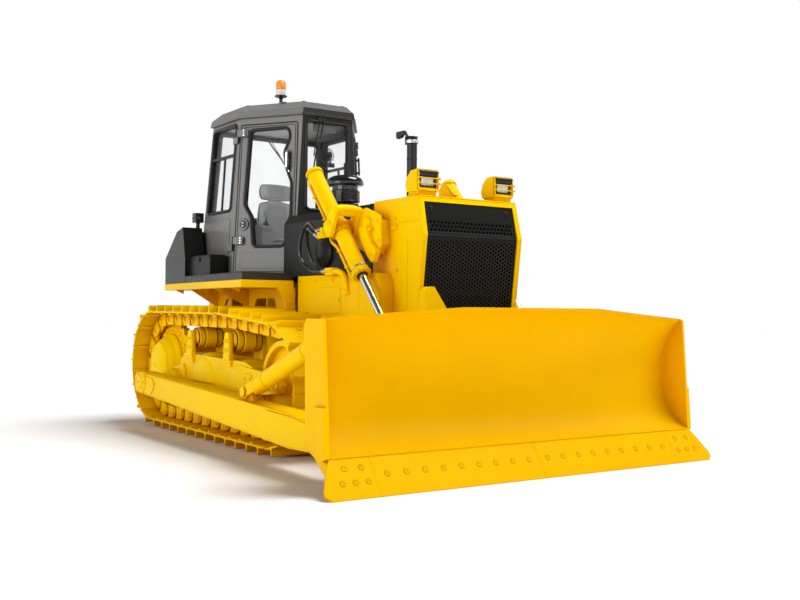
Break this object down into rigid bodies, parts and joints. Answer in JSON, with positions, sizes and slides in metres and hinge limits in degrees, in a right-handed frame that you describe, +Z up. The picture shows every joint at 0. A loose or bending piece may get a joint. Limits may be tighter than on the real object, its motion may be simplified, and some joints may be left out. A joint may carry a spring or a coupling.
{
  "type": "crawler bulldozer with a straight blade",
  "caption": "Yellow crawler bulldozer with a straight blade on push arms, lift cylinders, fixed tracks and a dark glazed cab with angled doors.",
  "frame": {"origin": "on the ground under the middle of the machine's overall length, width centre", "axes": "+X forward along travel, +Y to the machine's left, +Z up"},
  "size_m": [5.1439, 3.388, 3.408],
  "materials": {
    "yellow_paint": "gloss",
    "black_paint": "satin",
    "cab_grey": "satin",
    "cast_iron": "matte",
    "radiator_black": "matte",
    "glass": "gloss",
    "lens_glass": "gloss",
    "seat_fabric": "matte",
    "black_plastic": "matte",
    "amber_plastic": "gloss",
    "chrome_rod": "mirror"
  },
  "bodies": {
    "chassis": {"beacon": "amber_plastic", "cab_frame": "cab_grey", "cab_glass": "glass", "cab_roof": "cab_grey", "console": "black_plastic", "cyl_yokes": "yellow_paint", "deck": "black_paint", "drawbar": "yellow_paint", "engine_block": "cast_iron", "exhaust_stack": "black_paint", "final_drives": "yellow_paint", "front_lamps": "yellow_paint", "grille": "black_paint", "hood": "cab_grey", "idlers": "yellow_paint", "lamp_lenses": "lens_glass", "left_track": "yellow_paint", "lower_panels": "yellow_paint", "main_frame": "yellow_paint", "platform": "yellow_paint", "precleaner": "black_plastic", "radiator": "radiator_black", "radiator_guard": "yellow_paint", "rear_case": "yellow_paint", "rear_lamps": "black_plastic", "rear_tank": "black_paint", "right_track": "yellow_paint", "rollers": "yellow_paint", "seat": "seat_fabric", "sprockets": "yellow_paint", "track_frames": "yellow_paint"},
    "dozer_blade": {"push_arms": "yellow_paint", "braces": "yellow_paint", "moldboard": "yellow_paint", "cutting_edges": "yellow_paint", "end_bits": "yellow_paint"},
    "right_barrel": {"right_lift_barrel": "yellow_paint"},
    "left_barrel": {"left_lift_barrel": "yellow_paint"},
    "right_rod": {"right_lift_rod": "chrome_rod"},
    "left_rod": {"left_lift_rod": "chrome_rod"},
    "right_door": {"right_door": "cab_grey", "right_door_glass": "glass"},
    "left_door": {"left_door": "cab_grey", "left_door_glass": "glass"},
    "rain_cap": {"rain_cap": "black_paint"}
  },
  "joints": [
    {"name": "blade_lift", "type": "hinge", "parent": "chassis", "child": "dozer_blade", "pos_m": [-1.26, 0, 0.45], "axis": [0, -1, 0], "range_deg": [-8.2, 16.3]},
    {"name": "right_barrel_swing", "type": "hinge", "parent": "chassis", "child": "right_barrel", "pos_m": [0.95, -0.67, 1.74], "axis": [0, -1, 0], "range_deg": [-14, 27.5]},
    {"name": "left_barrel_swing", "type": "hinge", "parent": "chassis", "child": "left_barrel", "pos_m": [0.95, 0.67, 1.74], "axis": [0, -1, 0], "range_deg": [-14, 27.5]},
    {"name": "right_rod_slide", "type": "slide", "parent": "right_barrel", "child": "right_rod", "axis": [0.6653, 0, -0.7466], "range_m": [-0.68, 0.345]},
    {"name": "left_rod_slide", "type": "slide", "parent": "left_barrel", "child": "left_rod", "axis": [0.6653, 0, -0.7466], "range_m": [-0.68, 0.345]},
    {"name": "right_door_hinge", "type": "hinge", "parent": "chassis", "child": "right_door", "pos_m": [-0.97476, -0.71338, 1.43071], "axis": [0.0028, -0.0513, -0.9987], "range_deg": [0, 115]},
    {"name": "left_door_hinge", "type": "hinge", "parent": "chassis", "child": "left_door", "pos_m": [-0.97476, 0.71338, 1.43071], "axis": [-0.0028, -0.0513, 0.9987], "range_deg": [0, 115]},
    {"name": "rain_cap_hinge", "type": "hinge", "parent": "chassis", "child": "rain_cap", "pos_m": [0.948, -0.05, 2.509], "axis": [0, -1, 0], "range_deg": [0, 70]}
  ],
  "couplings": [
    {"joint": "right_barrel_swing", "follows": "blade_lift", "ratio": 1.66},
    {"joint": "left_barrel_swing", "follows": "blade_lift", "ratio": 1.66},
    {"joint": "right_rod_slide", "follows": "blade_lift", "m_per_rad": -2.37},
    {"joint": "left_rod_slide", "follows": "blade_lift", "m_per_rad": -2.37}
  ]
}
